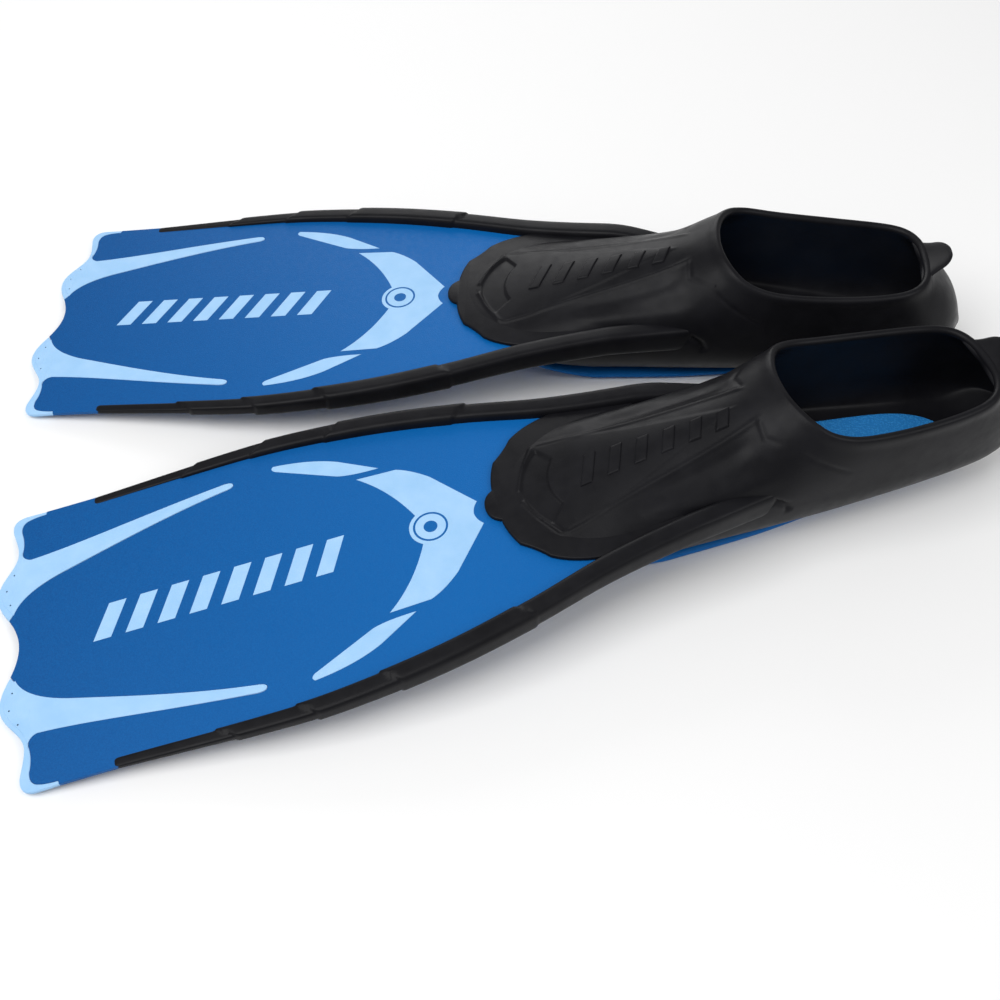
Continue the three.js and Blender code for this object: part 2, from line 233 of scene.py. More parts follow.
class Body:
    """Points and faces gathered from several parts of one piece."""

    def __init__(self):
        self.points = []
        self.faces = []

    def add(self, points, faces):
        base = len(self.points)
        self.points.extend(tuple(map(float, p)) for p in points)
        self.faces.extend(tuple(base + i for i in face) for face in faces)

    def add_grid(self, grid, closed=False):
        """Quads over a grid of points; closed joins the last column to the first."""
        rows, columns = grid.shape[:2]
        faces = []
        for i in range(rows - 1):
            for j in range(columns - (0 if closed else 1)):
                k = (j + 1) % columns
                row, after = i * columns, (i + 1) * columns
                faces.append((row + j, row + k, after + k, after + j))
        self.add(grid.reshape(-1, 3), faces)

    def add_fan(self, ring):
        """Closes a ring with triangles that meet at its middle."""
        count = len(ring)
        self.add([*ring, ring.mean(0)], [(k, (k + 1) % count, count) for k in range(count)])

    def add_loft(self, rings):
        """A closed skin through a row of rings, with both ends capped."""
        self.add_grid(rings, closed=True)
        self.add_fan(rings[0])
        self.add_fan(rings[-1])


# ---- flat outlines ----
class Pen:
    """Draws an outline from lines and curves, as (u, v) points."""

    def __init__(self, u, v):
        self.points = [(float(u), float(v))]

    def line(self, u, v):
        self.points.append((float(u), float(v)))
        return self

    def quad(self, cu, cv, u, v, steps=12):
        a = np.array(self.points[-1])
        c, b = np.array((cu, cv), float), np.array((u, v), float)
        for t in np.linspace(0, 1, steps + 1)[1:]:
            self.points.append(tuple((1 - t) ** 2 * a + 2 * t * (1 - t) * c + t * t * b))
        return self

    def cubic(self, cu, cv, du, dv, u, v, steps=16):
        a = np.array(self.points[-1])
        c, d, b = (np.array(p, float) for p in ((cu, cv), (du, dv), (u, v)))
        for t in np.linspace(0, 1, steps + 1)[1:]:
            s = 1 - t
            near_start = s ** 3 * a + 3 * s * s * t * c
            self.points.append(tuple(near_start + 3 * s * t * t * d + t ** 3 * b))
        return self


def both_sides(half):
    """A whole outline from the half at positive v, which starts and ends on the centre line."""
    other = [(u, -v) for u, v in reversed(half) if abs(v) > 1e-6]
    return half + other


def mirror_outline(points, side):
    return points if side > 0 else [(u, -v) for u, v in reversed(points)]


def circle(u, v, radius, count):
    turns = 2 * np.pi * np.arange(count) / count
    return [(u + radius * math.cos(a), v + radius * math.sin(a)) for a in turns]


def offset(points, distance):
    """The outline moved inwards by the distance, with mitred corners."""
    p = np.array(points, float)
    area = np.sum(p[:, 0] * np.roll(p[:, 1], -1) - np.roll(p[:, 0], -1) * p[:, 1])
    before = p - np.roll(p, 1, axis=0)
    after = np.roll(p, -1, axis=0) - p
    normals = []
    for edge in (before, after):
        length = np.linalg.norm(edge, axis=1, keepdims=True)
        unit = edge / np.maximum(length, 1e-9)
        normals.append(np.stack([-unit[:, 1], unit[:, 0]], axis=1) * np.sign(area))
    total = normals[0] + normals[1]
    scale = np.maximum((total * total).sum(1, keepdims=True) / 2, 0.35)
    return p + distance * total / scale


def on_blade(points, rise):
    """(u, v) points lifted to a height above the blade's middle surface."""
    p = np.asarray(points, float)
    return np.column_stack([p, blade_height(p[:, 0]) + rise])


def add_plate(body, outline, low, high, edge=0.3, holes=()):
    """A plate on the blade with rounded edges, from its outline."""
    turns = np.radians((0, 30, 60, 90))
    levels = [(edge * (1 - math.sin(a)), low + edge * (1 - math.cos(a))) for a in turns]
    levels += [(edge * (1 - math.cos(a)), high - edge * (1 - math.sin(a))) for a in turns]
    rings = [on_blade(offset(outline, inset), rise) for inset, rise in levels]
    body.add_grid(np.array(rings), closed=True)
    for hole in holes:
        body.add_grid(np.array([on_blade(hole, low), on_blade(hole, high)]), closed=True)
    for ring, rise in ((rings[0], low), (rings[-1], high)):
        borders = [ring] + [on_blade(hole, rise) for hole in holes]
        loops = [[Vector(p) for p in border] for border in borders]
        points = [p for loop in loops for p in loop]
        body.add(points, tessellate_polygon(loops))


def tip_edge_outer(pen):
    """The soft edge of the tip, from its lobe to its corner."""
    pen.cubic(-8, 26, -11.5, 32, -11, 40)
    pen.cubic(-10.5, 49, -1.5, 56, 1, 63)
    pen.cubic(4, 70, 1, 78, -0.5, 86)
    return pen.quad(-1.5, 96, 8, 96.5)


def tip_insert_inner(pen):
    """Where a soft tip insert meets the blade, from the corner round the stripe to the lobe."""
    pen.line(20.5, 94)
    pen.quad(14, 94, 9.5, 92.6)
    pen.quad(4.5, 91, 5, 84)
    pen.quad(7, 76, 5, 68)
    pen.quad(4.5, 62, 10, 61)
    pen.cubic(40, 62.5, 80, 71, 133, 77.2, 24)
    pen.quad(139, 77.5, 139, 74.6)
    pen.quad(139, 72.4, 133, 71.6)
    pen.cubic(95, 65, 60, 54, 33, 46, 24)
    return pen.quad(4, 38, -1.5, 24)


def tip_insert_outline():
    pen = tip_edge_outer(Pen(-4.5, 20))
    pen.quad(15, 96.4, 21, 96.2)
    return tip_insert_inner(pen).points


def tip_field_outline():
    """The raised field of a tip insert, behind its bevelled border."""
    pen = Pen(-1.6, 23)
    pen.cubic(-5, 28, -8.7, 33, -8.4, 40)
    pen.cubic(-7.8, 47, 0.8, 55, 3.2, 62)
    pen.quad(4.8, 66.5, 4.4, 69)
    pen.quad(4.6, 62.6, 10, 61.2)
    pen.cubic(40, 62.7, 80, 71.2, 133, 77)
    pen.quad(138.8, 77.3, 138.8, 74.6)
    pen.quad(138.8, 72.6, 133, 71.8)
    pen.cubic(95, 65.2, 60, 54.2, 33, 46.2)
    return pen.quad(4, 38.2, -1.6, 23).points[:-1]


def blade_outline():
    """The blue plate, without its soft inserts, from the tip to where it runs under the foot."""
    half = Pen(1, 0).quad(1, 9, -4.3, 19.6)
    inner = tip_insert_inner(Pen(21, 96.2)).points[::-1]
    for point in inner:
        half.line(*point)
    half.quad(40, 96.2, 60, 96.5)
    half.quad(130, 99, 185, 95)
    half.quad(235, 88, 281, 78.5)
    half.quad(315, 71, 345, 60)
    half.line(385, 50)
    half.line(385, 0)
    return both_sides(half.points)


def chevron_outline():
    """The light-blue arrow that points at the toe knob."""
    half = Pen(277, 0).quad(277.5, 5, 281, 8.5)
    half.line(258, 37)
    half.quad(248, 46.5, 239, 50)
    half.line(214, 51)
    half.quad(232, 36, 243, 10.8)
    half.quad(237, 7, 237, 0)
    return both_sides(half.points)


def dash_outline():
    """The short light-blue dash outside an arm of the chevron."""
    pen = Pen(165.5, 80).quad(162.5, 78, 166, 75.5)
    pen.line(203, 57.8)
    pen.quad(212, 55, 229, 55)
    pen.line(206, 69)
    return pen.quad(190, 77.5, 165.5, 80).points[:-1]


def flange_outline():
    """The scalloped rubber flange round the toe, with its centre knob."""
    half = Pen(284, 0).quad(284, 8.5, 291, 11.5)
    half.quad(292, 22, 297, 32)
    half.quad(305, 38, 311, 46)
    half.quad(324, 56, 347, 58)
    half.line(392, 48)
    half.line(392, 0)
    return both_sides(half.points)


# ---- materials ----
def new_material(name, colour, roughness):
    material = bpy.data.materials.new(name)
    material.use_nodes = True
    shader = material.node_tree.nodes["Principled BSDF"]
    shader.inputs["Base Color"].default_value = (*colour, 1)
    shader.inputs["Roughness"].default_value = roughness
    return material, material.node_tree, shader


def node(tree, kind, inputs=None, **settings):
    made = tree.nodes.new(kind)
    for name, value in settings.items():
        setattr(made, name, value)
    for name, value in (inputs or {}).items():
        if isinstance(value, bpy.types.NodeSocket):
            tree.links.new(value, made.inputs[name])
        else:
            made.inputs[name].default_value = value
    return made


def noise(tree, scale, detail=3.0, roughness=0.5):
    place = node(tree, "ShaderNodeTexCoord")
    return node(tree, "ShaderNodeTexNoise", {
        "Vector": place.outputs["Object"], "Scale": scale, "Detail": detail, "Roughness": roughness})


def shade_range(tree, value, low, high, to_low, to_high):
    return node(tree, "ShaderNodeMapRange", {
        "Value": value, "From Min": low, "From Max": high,
        "To Min": to_low, "To Max": to_high}).outputs[0]


def mixed(tree, factor, first, second):
    mix = node(tree, "ShaderNodeMix", data_type="RGBA")
    tree.links.new(factor, mix.inputs["Factor"])
    for socket, colour in ((mix.inputs["A"], first), (mix.inputs["B"], second)):
        if isinstance(colour, bpy.types.NodeSocket):
            tree.links.new(colour, socket)
        else:
            socket.default_value = (*colour, 1)
    return mix.outputs["Result"]


def add_bump(tree, shader, height, distance):
    """Puts a bump, with its depth in metres, over any that the shader already has."""
    bump = node(tree, "ShaderNodeBump", {"Height": height, "Distance": distance, "Strength": 1.0})
    before = shader.inputs["Normal"].links
    if before:
        tree.links.new(before[0].from_socket, bump.inputs["Normal"])
    tree.links.new(bump.outputs[0], shader.inputs["Normal"])


def blade_plastic():
    """Blue technical plastic with a fine spark-eroded grain, a little darker towards the tip."""
    material, tree, shader = new_material("blade_plastic", (0.0, 0.11, 0.38), 0.42)
    shader.inputs["Specular IOR Level"].default_value = 0.16
    place = node(tree, "ShaderNodeTexCoord")
    along = node(tree, "ShaderNodeSeparateXYZ", {"Vector": place.outputs["Object"]})
    towards_tip = shade_range(tree, along.outputs["X"], -0.02, -0.34, 0.0, 1.0)
    base = mixed(tree, towards_tip, (0.0, 0.112, 0.385), (0.0, 0.064, 0.24))
    speck = shade_range(tree, noise(tree, 1100, 2).outputs[0], 0.35, 0.68, 0.0, 0.35)
    speckled = mixed(tree, speck, base, (0.003, 0.14, 0.44))
    tree.links.new(speckled, shader.inputs["Base Color"])
    sheen = shade_range(tree, noise(tree, 260).outputs[0], 0.3, 0.7, 0.4, 0.54)
    tree.links.new(sheen, shader.inputs["Roughness"])
    add_bump(tree, shader, noise(tree, 1500, 2).outputs[0], 0.00016)
    return material


def insert_rubber():
    """Soft light-blue rubber."""
    material, tree, shader = new_material("insert_rubber", (0.35, 0.58, 0.86), 0.55)
    shader.inputs["Specular IOR Level"].default_value = 0.16
    tone = shade_range(tree, noise(tree, 70).outputs[0], 0.3, 0.7, 0.0, 1.0)
    shades = mixed(tree, tone, (0.325, 0.565, 0.85), (0.375, 0.61, 0.89))
    tree.links.new(shades, shader.inputs["Base Color"])
    shader.inputs["Subsurface Weight"].default_value = 0.08
    shader.inputs["Subsurface Radius"].default_value = (0.002, 0.003, 0.004)
    add_bump(tree, shader, noise(tree, 1400, 2).outputs[0], 0.00006)
    return material


def pocket_rubber():
    """Black thermoplastic rubber with a satin skin and a fine, slightly uneven grain."""
    material, tree, shader = new_material("pocket_rubber", (0.011, 0.011, 0.013), 0.42)
    shader.inputs["Specular IOR Level"].default_value = 0.11
    tone = shade_range(tree, noise(tree, 35, 4).outputs[0], 0.35, 0.65, 0.0, 1.0)
    shades = mixed(tree, tone, (0.006, 0.006, 0.0075), (0.009, 0.009, 0.011))
    tree.links.new(shades, shader.inputs["Base Color"])
    sheen = shade_range(tree, noise(tree, 140, 4).outputs[0], 0.3, 0.7, 0.33, 0.44)
    tree.links.new(sheen, shader.inputs["Roughness"])
    add_bump(tree, shader, noise(tree, 1600, 2).outputs[0], 0.00006)
    add_bump(tree, shader, noise(tree, 120, 2).outputs[0], 0.00008)
    return material


def footbed_rubber():
    """The blue pebbled patch that the sole of the foot stands on."""
    material, tree, shader = new_material("footbed_rubber", (0.02, 0.2, 0.55), 0.6)
    shader.inputs["Specular IOR Level"].default_value = 0.35
    place = node(tree, "ShaderNodeTexCoord")
    pebbles = node(tree, "ShaderNodeTexVoronoi", {"Vector": place.outputs["Object"], "Scale": 650})
    # painted highlight and painted shade: the pebble tops are coloured lighter and the hollows between
    # them darker, following the same bumps
    tone = shade_range(tree, pebbles.outputs["Distance"], 0.1, 0.6, 0.0, 1.0)
    shades = mixed(tree, tone, (0.03, 0.30, 0.72), (0.015, 0.20, 0.56))
    tree.links.new(shades, shader.inputs["Base Color"])
    domes = shade_range(tree, pebbles.outputs["Distance"], 0.0, 0.6, 1.0, 0.0)
    add_bump(tree, shader, domes, 0.0004)
    return material


# ---- the blade and what is let into it ----
def make_blade(fin, materials):
    body = Body()
    add_plate(body, blade_outline(), -BLADE_HALF, BLADE_HALF, edge=0.35)
    plate = new_piece(fin, "blade_plate", body.points, body.faces, materials["blade"], sharp=12)
    cut_in_strips(fin, plate)
    rides_blade(fin, plate, "blade")


def make_tip_insert(fin, materials, side, side_name):
    """A soft tip corner: the full-thickness edge, with the raised field behind its bevelled border."""
    body = Body()
    hole_places = ((-3.4, 31), (-5.4, 42), (-0.6, 52.5))
    holes = [mirror_outline(circle(u, v, 0.55, 12), side) for u, v in hole_places]
    outline = mirror_outline(tip_insert_outline(), side)
    add_plate(body, outline, -BLADE_HALF - 0.05, BLADE_HALF - 0.1, edge=0.6, holes=holes)
    field = mirror_outline(tip_field_outline(), side)
    add_plate(body, field, -BLADE_HALF, BLADE_HALF + 0.22, edge=0.25, holes=holes)
    name = f"tip_corner_{side_name}"
    piece = new_piece(fin, name, body.points, body.faces, materials["insert"], sharp=40)
    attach(piece, fin.flex)
    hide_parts(f"{fin.name}_tip_insert_{side_name}")


def make_chevron(fin, materials):
    """The chevron and the round boss at its point."""
    body = Body()
    add_plate(body, chevron_outline(), -INSERT_DEPTH, BLADE_HALF + 0.2)
    add_plate(body, circle(ROUNDEL_U, 0, 13, 72), -INSERT_DEPTH, BLADE_HALF + 0.25)
    chevron = new_piece(fin, "chevron", body.points, body.faces, materials["insert"], sharp=12)
    cut_in_strips(fin, chevron)
    rides_blade(fin, chevron, "chevron_insert")


def make_dash(fin, materials, side, side_name):
    body = Body()
    add_plate(body, mirror_outline(dash_outline(), side), -INSERT_DEPTH, BLADE_HALF + 0.25)
    dash = new_piece(fin, f"dash_{side_name}", body.points, body.faces, materials["insert"], sharp=12)
    cut_in_strips(fin, dash)
    rides_blade(fin, dash, f"dash_insert_{side_name}")


def make_roundel(fin, materials):
    """A thin blue ring and dot printed on the round boss of the chevron."""
    body = Body()
    low, high = BLADE_HALF + 0.1, BLADE_HALF + 0.32
    outer, inner = (circle(ROUNDEL_U, 0, radius, 72) for radius in (10.6, 9.3))
    add_plate(body, outer, low, high, edge=0.05, holes=[inner])
    add_plate(body, circle(ROUNDEL_U, 0, 4.2, 40), low, high, edge=0.05)
    ring = new_piece(fin, "roundel_ring", body.points, body.faces, materials["blade"], sharp=12)
    cut_in_strips(fin, ring)
    rides_blade(fin, ring)


def make_bars(fin, materials):
    """A row of plain slanted bars along the middle of the blade."""
    body = Body()
    for i in range(BAR_COUNT):
        near = BAR_FIRST_U + BAR_PITCH * i - BAR_LEAN
        far = BAR_FIRST_U + BAR_PITCH * i + BAR_LEAN
        bar = [
            (near, -BAR_HALF_LENGTH), (near + BAR_WIDTH, -BAR_HALF_LENGTH),
            (far + BAR_WIDTH, BAR_HALF_LENGTH), (far, BAR_HALF_LENGTH)]
        add_plate(body, bar, 0.2, BLADE_HALF + PRINT_RISE, edge=0.1)
    bars = new_piece(fin, "slanted_bars", body.points, body.faces, materials["insert"], sharp=12)
    cut_in_strips(fin, bars)
    rides_blade(fin, bars)


# ---- side rails ----
def unit_ring(count, across, upward):
    """Unit offsets round a rounded rectangle: the smaller the two powers, the squarer it is."""
    turns = 2 * np.pi * (np.arange(count) + 0.5) / count
    c, s = np.cos(turns), np.sin(turns)
    return np.sign(c) * np.abs(c) ** across, np.sign(s) * np.abs(s) ** upward


def make_rail(fin, materials, side, side_name):
    """The rubber rail along the blade's edge, in overlapping lengths, and on along the flank."""
    lateral, vertical = unit_ring(48, 2 / 4.2, 2 / 4.2)
    nose, tail = 4.0, 7.0
    places = np.unique(np.concatenate([
        np.arange(RAIL_START_U, 300, 1.0), np.arange(300, 446, 3.0),
        np.linspace(446, RAIL_END_U, 14)]))
    rows = []
    for u in places:
        end = min((u - RAIL_START_U) / nose, (RAIL_END_U - u) / tail)
        close = math.sqrt(max(1 - max(1 - end, 0) ** 2, 0.02))
        slanted = u - 6.0 * lateral
        steps_passed = sum(smooth(slanted, step - 0.7, step + 0.7) for step in RAIL_STEPS)
        bulge = steps_passed * 1.15 - 1.2
        bulge = bulge - smooth(slanted, RAIL_ROOT_U - 1, RAIL_ROOT_U + 1) * 1.1
        half = (rail_half_width(u) + bulge * 0.6) * close
        height = (rail_half_height(u) + bulge) * close
        settle = RAIL_SETTLE * smooth(u, 400, RAIL_END_U)
        v = rail_middle(u) - settle + half * lateral
        w = blade_height(u) - rail_drop(u) - settle + height * vertical
        rows.append(np.column_stack([np.full(len(v), u), side * v, w]))
    body = Body()
    body.add_loft(np.array(rows))
    name = f"side_rail_{side_name}"
    rail = new_piece(fin, name, body.points, body.faces, materials["rubber"])
    rides_blade(fin, rail, f"rail_{side_name}", f"rail_root_{side_name}")


# ---- the foot pocket ----
def rubber_bottom(u):
    """Where the pocket's rubber ends below, a little way into the blue frame under it."""
    return np.minimum(underside(u) + np.minimum(frame_thickness(u), 6) - 2, widest_height(u) - 2)


def section(u, limit=None, count=112):
    """Half of the pocket's outer section, from the sole to a height or the top: (v, w) points."""
    angles = np.linspace(-np.pi / 2, np.pi / 2, 700)
    power = np.where(angles > 0, upper_power(u), LOWER_POWER)
    middle = widest_height(u)
    v = half_width(u) * np.abs(np.cos(angles)) ** (2 / power)
    rise = np.abs(np.sin(angles)) ** (2 / power)
    reach = np.where(angles > 0, dome_top(u) - middle, rubber_bottom(u) - middle)
    w = middle + reach * rise
    length = np.concatenate([[0], np.cumsum(np.hypot(np.diff(v), np.diff(w)))])
    end = length[-1] if limit is None else np.interp(limit, w, length)
    places = np.linspace(0, end, count)
    return np.column_stack([np.interp(places, length, v), np.interp(places, length, w)])


def surface_value(u, v, w):
    """Zero on the pocket's outer surface, positive outside it."""
    middle = widest_height(u)
    above = w > middle
    power = np.where(above, upper_power(u), LOWER_POWER)
    height = np.where(above, dome_top(u) - middle, middle - rubber_bottom(u))
    return (np.abs(v) / half_width(u)) ** power + (np.abs(w - middle) / height) ** power - 1


def outward(points):
    """Unit normals of the pocket's outer surface."""
    u, v, w = (points[..., k] for k in range(3))
    step = 0.3
    slopes = np.stack([
        surface_value(u + step, v, w) - surface_value(u - step, v, w),
        surface_value(u, v + step, w) - surface_value(u, v - step, w),
        surface_value(u, v, w + step) - surface_value(u, v, w - step)], axis=-1)
    return slopes / np.linalg.norm(slopes, axis=-1, keepdims=True)


def rim_stations(count):
    """Stations along the foot opening, evenly spaced along its rim, from its front to its rear."""
    search = np.linspace(455, 619, 8000)
    open_part = search[dome_top(search) > rim_height(search)]
    front, rear = open_part[0], open_part[-1]
    u = front + (rear - front) * (1 - np.cos(np.linspace(0, np.pi, 6000))) / 2
    middle = widest_height(u)
    share = np.clip((rim_height(u) - middle) / (dome_top(u) - middle), 0, 1)
    v = half_width(u) * (1 - share ** upper_power(u)) ** (1 / upper_power(u))
    v[[0, -1]] = 0
    steps = np.column_stack([np.diff(u), np.diff(v), np.diff(rim_height(u))])
    length = np.concatenate([[0], np.cumsum(np.linalg.norm(steps, axis=1))])
    return np.interp(np.linspace(0, length[-1], count), length, u)


def near_line(points, line):
    """How far each point lies from a line drawn through a few points."""
    corners = np.array(line, float)
    best = np.full(points.shape[:-1], 1e9)
    for a, b in zip(corners, corners[1:]):
        along = b - a
        t = np.clip(((points - a) @ along) / (along @ along), 0, 1)
        best = np.minimum(best, ((points - a - t[..., None] * along) ** 2).sum(-1))
    return np.sqrt(best)


def on_surface(u, v):
    """The height of the pocket's outer surface over a point."""
    middle = widest_height(u)
    power = upper_power(u)
    share = np.clip(1 - (np.abs(v) / half_width(u)) ** power, 0, 1) ** (1 / power)
    return middle + (dome_top(u) - middle) * share


def surface_line(pairs):
    """A line on the top of the pocket, straight between a few (u, v) pairs when seen from above."""
    u, v = np.array(pairs, float).T
    steps = np.linspace(0, len(u) - 1, 30)
    corners = np.arange(len(u))
    u, v = np.interp(steps, corners, u), np.interp(steps, corners, v)
    return np.column_stack([u, v, on_surface(u, v)])


def inside_polygon(u, v, corners):
    """How far a point lies inside a polygon of (u, v) corners, negative outside it."""
    p = np.array(corners, float)
    q = np.roll(p, -1, axis=0)
    area = np.sum(p[:, 0] * q[:, 1] - q[:, 0] * p[:, 1])
    depth = np.full(np.shape(u), 1e9)
    for a, b in zip(p, q):
        edge = (b - a) / np.linalg.norm(b - a)
        from_edge = (v - a[1]) * edge[0] - (u - a[0]) * edge[1]
        depth = np.minimum(depth, from_edge * np.sign(area))
    return depth


def stroke(place, line, height, spread):
    """A raised or sunk line, which falls off smoothly on both sides."""
    return height * np.exp(-(near_line(place, line) / spread) ** 2)


def relief(points):
    """The moulded detail of the instep and flank: how far the skin stands out, in millimetres."""
    u, across, w = (points[..., k] for k in range(3))
    v = np.abs(across)
    place = np.stack([u, v, w], axis=-1)
    top = smooth(w, 44, 47)
    # the instep panel, from the toe to just before the opening, and the ridge along its edges
    panel = inside_polygon(u, v, [
        (300, -9), (312, 20), (323, 38), (341, 32), (362, 27), (446, 13.5), (451, -9)])
    raised = 0.6 * smooth(panel, -0.8, 0.8) * top
    ridge = surface_line([
        (306, 5), (312, 18), (323, 35), (341, 32), (362, 27), (403, 20.5), (425, 17), (446, 13)])
    raised += stroke(place, ridge, 0.75, 1.3)
    # the line inside the flange's edge, round the toe
    border = [
        (304.5, 0, 42), (306.5, 8, 42), (311, 17, 42), (320, 29, 42), (332, 38, 42.5), (346, 44, 44)]
    raised += stroke(place, border, -0.9, 1.1)
    # the sunk crescent at the toe, cut off by the panel's near and far edges
    crescent = np.minimum(36.5 - np.hypot(u - 344, across), np.hypot(u - 353, across) - 29)
    wedge = inside_polygon(u, across, [
        (300, -36), (314, -31), (331, -12), (336, 12), (323, 31), (300, 36)])
    raised -= 1.3 * smooth(np.minimum(crescent, wedge), -0.3, 0.8) * top
    # the groove above the side rail
    groove = [
        (372, 41.4, 57.5), (384, 44.6, 57.5), (396, 46.4, 57), (414, 48.3, 56), (436, 48.9, 54),
        (450, 48.7, 52), (457, 48.5, 47), (459, 48.4, 42)]
    raised += stroke(place, groove, -2.2, 1.7) * smooth(u, 368, 400)
    # the line that curves down from the panel's end, round the opening
    curved = [
        (446, 14, on_surface(446, 14)), (446, 25, on_surface(446, 25)), (457, 37, 86),
        (472, 45, 77), (488, 46.5, 67), (500, 47, 60)]
    raised += stroke(place, curved, -0.7, 1.4) * (1 - smooth(u, 486, 500))
    # the soft crest between the panel and the groove, and the hollow above it
    crest = surface_line([(372, 42), (400, 41), (432, 41.5), (452, 43)])
    raised += stroke(place, crest, 1.4, 6.0) * smooth(u, 362, 392) * (1 - smooth(u, 438, 456))
    hollow = surface_line([(352, 37), (380, 31), (410, 28), (440, 24)])
    raised += stroke(place, hollow, -1.3, 5.5) * smooth(u, 350, 384) * (1 - smooth(u, 428, 448))
    return raised


def pocket_shell(side):
    """The rubber upper on one side: its outside, its inside and the rolled rim between them."""
    opening = rim_stations(132)
    front, rear = opening[0], opening[-1]
    toe = np.concatenate([np.arange(297, 340, 0.7), np.arange(340, front - 0.3, 1.1)])
    heel = rear + (HEEL_U - rear) * np.sin(np.linspace(0.03, np.pi / 2, 26))
    places = np.concatenate([toe, opening, heel])
    opened = np.isin(places, opening)
    to_top = ~opened | (places == front) | (places == rear)
    rows = []
    for u, whole in zip(places, to_top):
        points = section(u, None if whole else rim_height(u))
        rows.append(np.column_stack([np.full(len(points), u), points]))
    skin = np.array(rows)
    normals = outward(skin)
    normals[:, 0, 1] = 0
    normals[to_top, -1, 1] = 0
    normals /= np.linalg.norm(normals, axis=-1, keepdims=True)
    rim = skin[opened, -1]
    from_rim = np.full(skin.shape[:2], 1e9)
    for p in rim:
        from_rim = np.minimum(from_rim, ((skin - p) ** 2).sum(-1))
    from_rim = np.sqrt(from_rim)
    lip = 1.0 * np.exp(-(from_rim / 4.5) ** 2)
    detail = relief(skin * (1, side, 1)) * smooth(from_rim, 2, 8)
    shown = skin + normals * (detail + lip)[..., None]

    # the inside, with its floor raised to the footbed and its front end closed over the toes
    inner_rows = places > CAVITY_FRONT_U
    depth = WALL + (RIM_WIDTH - WALL - 0.9) * np.exp(-(from_rim[inner_rows] / 6.0) ** 2)
    inside = skin[inner_rows] - normals[inner_rows] * depth[..., None]
    inside[:, 0, 1] = 0
    floor = foot_floor(inside[..., 0])
    blend_height = 3
    below = np.minimum(inside[..., 2] - floor - blend_height, 0)
    raised = floor + blend_height * np.exp(below / blend_height)
    inside[..., 2] = np.where(below == 0, inside[..., 2], raised)
    heel_limit = HEEL_U - WALL - 0.6
    inside[..., 0] = np.minimum(inside[..., 0], heel_limit)
    inside[..., 1] = np.maximum(inside[..., 1], 0)
    toe_end = smooth(inside[..., 0], CAVITY_FRONT_U, CAVITY_FRONT_U + 20) ** 0.5
    toe_end = np.maximum(toe_end, 0.02)
    middle = (foot_floor(inside[..., 0]) + dome_top(inside[..., 0]) - WALL) / 2
    inside[..., 1] *= toe_end
    inside[..., 2] = middle + (inside[..., 2] - middle) * toe_end

    # the rolled rim between them
    outer_edge = shown[opened, -1]
    inner_edge = inside[opened[inner_rows], -1]
    tangent = np.gradient(rim, axis=0)
    tangent[0] = (0, 1, 0)
    tangent[-1] = (0, -1, 0)
    up = np.cross(tangent, normals[opened, -1])
    up /= np.linalg.norm(up, axis=-1, keepdims=True)
    middle = (outer_edge + inner_edge) / 2
    half = (outer_edge - inner_edge) / 2
    reach = np.linalg.norm(half, axis=-1, keepdims=True)
    turns = np.linspace(0, np.pi, 13)
    roll = np.array([middle + half * math.cos(a) + up * reach * math.sin(a) for a in turns])
    return shown, inside, roll


def heel_tab():
    """The pull tab, a tongue that flares back and up from the rim behind the heel."""
    unit_lateral, unit_out = unit_ring(48, 0.6, 0.8)
    rounded_end = 0.7 + 0.3 * np.sin(np.linspace(0.1, np.pi / 2, 12))
    rows = []
    for t in np.concatenate([np.linspace(0, 0.7, 12), rounded_end]):
        reach = math.sqrt(max(1 - (0.99 * t) ** 5, 0.01))
        width = (13.5 + 6.5 * math.exp(-(t / 0.35) ** 2)) * reach
        thick = (2.4 - 0.5 * t) * max(reach, 0.5)
        lateral = width * unit_lateral
        out = thick * unit_out
        u = 602.5 + 15.5 * t - 0.55 * out - 0.012 * lateral ** 2
        w = 81.5 + 10.5 * t + 0.84 * out
        rows.append(np.column_stack([u, lateral, w]))
    return np.array(rows)


def instep_bars():
    """Plain slanted bars that stand out of the instep panel, as grids of points."""
    half_length = 4.2
    across, along = np.meshgrid(
        np.linspace(-1, 1, 26), np.linspace(-1, 1, 16), indexing="ij")
    grids = []
    for i in range(6):
        reach = 11.0 - 0.9 * i
        u = 348 + 16.0 * i + half_length * along + 0.4 * reach * across
        v = 1.0 - i + reach * across
        inset = np.minimum((1 - np.abs(across)) * reach, (1 - np.abs(along)) * half_length)
        rise = -0.6 + 2.1 * np.sqrt(np.clip(inset, 0, 0.9) / 0.9)
        grids.append(np.stack([u, v, on_surface(u, np.abs(v)) + rise], axis=-1))
    return grids


def make_pocket(fin, materials):
    body = Body()
    shells = {side: pocket_shell(side) for side in (1, -1)}
    for side, shell in shells.items():
        for grid in shell:
            body.add_grid(grid * (1, side, 1))
    shown, inside, _ = shells[1]
    for ring in (shown[0], shown[-1], inside[0], inside[-1]):
        body.add_fan(np.concatenate([ring, (ring * (1, -1, 1))[::-1]]))
    body.add_loft(heel_tab())
    add_plate(body, flange_outline(), BLADE_HALF + 0.05, FLANGE_TOP, edge=1.0)
    rubber = materials["rubber"]
    pocket = new_piece(fin, "foot_pocket_upper", body.points, body.faces, rubber, sharp=50)
    rides_shoe(fin, pocket, "foot_pocket")
    body = Body()
    for grid in instep_bars():
        body.add_grid(grid)
    bars = new_piece(fin, "instep_bars", body.points, body.faces, rubber, sharp=60)
    rides_shoe(fin, bars)


# ---- the sole and the footbed ----
def super_ring(u, width, low, high, power, count):
    """A rounded rectangle across the fin, between two heights."""
    lateral, vertical = unit_ring(count, 2 / power, 2 / power)
    w = (low + high) / 2 + (high - low) / 2 * vertical
    return np.column_stack([np.full(count, u), width * lateral, w])


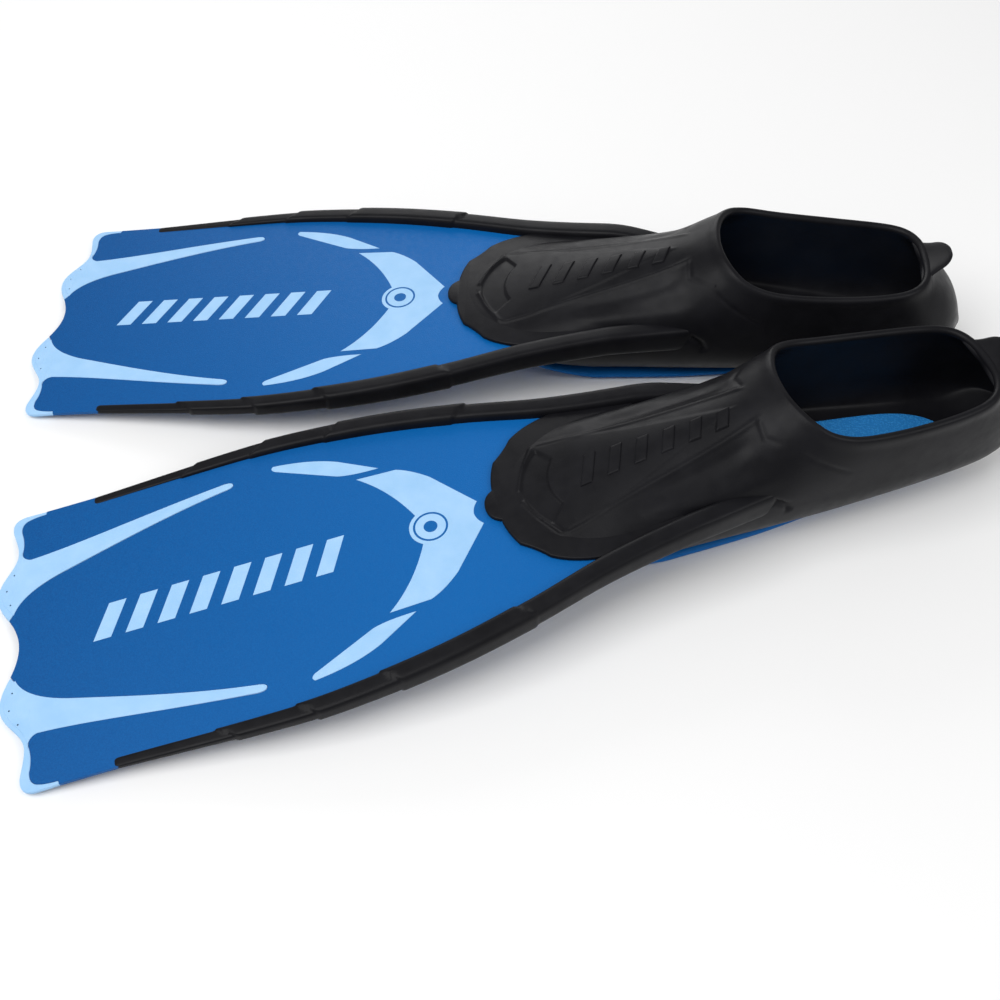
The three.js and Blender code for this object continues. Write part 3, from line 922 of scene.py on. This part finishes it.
def make_sole(fin, materials):
    """The blue frame of the blade where it runs back under the foot."""
    rings = []
    for u in np.linspace(298, 600, 130):
        low = underside(u)
        high = low + frame_thickness(u)
        rings.append(super_ring(u, frame_half_width(u), low, high, 3, 64))
    body = Body()
    body.add_loft(np.array(rings))
    sole = new_piece(fin, "sole_frame", body.points, body.faces, materials["blade"])
    rides_shoe(fin, sole, "blade_frame")


def make_footbed(fin, materials):
    """The long blue patch on the floor of the pocket, narrower towards the heel."""
    length = FOOTBED_REAR_U - CAVITY_FRONT_U
    rings = []
    for turn in np.linspace(0.02, np.pi - 0.02, 110):
        along = (1 - math.cos(turn)) / 2
        u = CAVITY_FRONT_U + length * along
        width = (31 - 7 * along) * max(1 - abs(2 * along - 1) ** 7, 0.02) ** 0.6
        level = foot_floor(u)
        rings.append(super_ring(u, width, level - 0.8, level + 1.4, 4, 72))
    body = Body()
    body.add_loft(np.array(rings))
    footbed = new_piece(fin, "footbed", body.points, body.faces, materials["footbed"])
    rides_shoe(fin, footbed, "insole")


# ---- studio ----
def make_studio():
    """A plain white floor under soft light."""
    floor_material, tree, shader = new_material("studio_floor", (0.93, 0.93, 0.93), 0.9)
    shader.inputs["Specular IOR Level"].default_value = 0.1
    bpy.ops.mesh.primitive_plane_add(size=FLOOR_SIZE, location=(0, 0, -FLOOR_DROP))
    floor = bpy.context.object
    floor.name = "studio_floor"
    floor.data.materials.append(floor_material)
    world = bpy.data.worlds.new("studio")
    bpy.context.scene.world = world
    world.use_nodes = True
    background = world.node_tree.nodes["Background"]
    background.inputs["Color"].default_value = (1, 1, 1, 1)
    background.inputs["Strength"].default_value = 0.36
    bpy.context.scene.view_settings.view_transform = "Standard"
    for light in LIGHTS:
        add_light(*light)


def add_light(name, place, size, power):
    """A square area light, in metres and watts, that faces the middle of the floor."""
    data = bpy.data.lights.new(name, "AREA")
    data.size = size
    data.energy = power
    light = bpy.data.objects.new(name, data)
    light.location = place
    light.rotation_euler = (-Vector(place)).to_track_quat("-Z", "Y").to_euler()
    bpy.context.scene.collection.objects.link(light)


def make_camera():
    data = bpy.data.cameras.new("camera")
    data.sensor_width = SENSOR
    data.lens = LENS
    data.clip_start = 0.01
    camera = bpy.data.objects.new("camera", data)
    camera.location = CAMERA_PLACE
    aim = Vector(CAMERA_AIM) - camera.location
    camera.rotation_euler = aim.to_track_quat("-Z", "Y").to_euler()
    bpy.context.scene.collection.objects.link(camera)
    bpy.context.scene.camera = camera


make_camera()
make_studio()
MATERIALS = {
    "blade": blade_plastic(),
    "insert": insert_rubber(),
    "rubber": pocket_rubber(),
    "footbed": footbed_rubber(),
}
for fin_name in ("front", "rear"):
    fin = Fin(fin_name)
    make_blade(fin, MATERIALS)
    make_chevron(fin, MATERIALS)
    make_roundel(fin, MATERIALS)
    make_bars(fin, MATERIALS)
    for side, side_name in ((1, "right"), (-1, "left")):
        make_tip_insert(fin, MATERIALS, side, side_name)
        make_dash(fin, MATERIALS, side, side_name)
        make_rail(fin, MATERIALS, side, side_name)
    make_pocket(fin, MATERIALS)
    make_sole(fin, MATERIALS)
    make_footbed(fin, MATERIALS)
